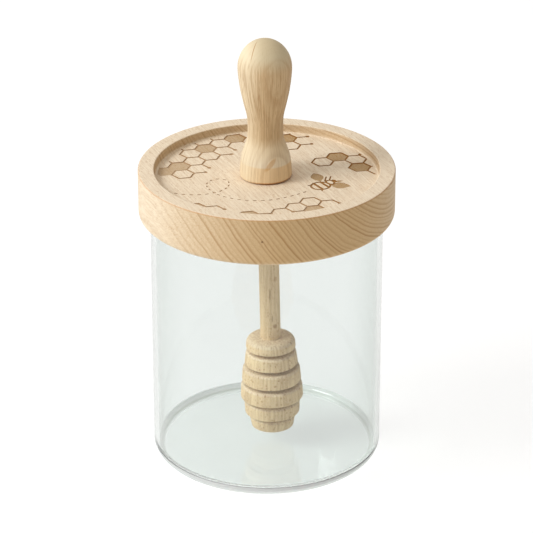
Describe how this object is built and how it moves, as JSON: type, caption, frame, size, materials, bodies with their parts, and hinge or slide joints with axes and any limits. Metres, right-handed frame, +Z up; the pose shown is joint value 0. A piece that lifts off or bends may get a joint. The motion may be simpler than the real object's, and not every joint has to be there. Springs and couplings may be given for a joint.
{
  "type": "honey jar with dipper",
  "caption": "Straight clear glass jar under a thick round wooden lid with a dished, engraved top; a turned knob on the lid holds a grooved honey dipper that hangs inside.",
  "frame": {"origin": "middle of the jar's base, on the surface it stands on", "axes": "+Z up along the jar's axis; +Y away from the viewer of the picture; +X to the viewer's right"},
  "size_m": [0.0988, 0.0988, 0.1722],
  "materials": {
    "jar_glass": "clear, glossy",
    "lid_beech": "bare sanded beech with laser-scorched lines",
    "handle_beech": "bare sanded beech",
    "dipper_beech": "bare sanded beech"
  },
  "bodies": {
    "root": {"jar": "jar_glass", "lid": "lid_beech", "handle": "handle_beech", "dipper": "dipper_beech"}
  },
  "joints": []
}
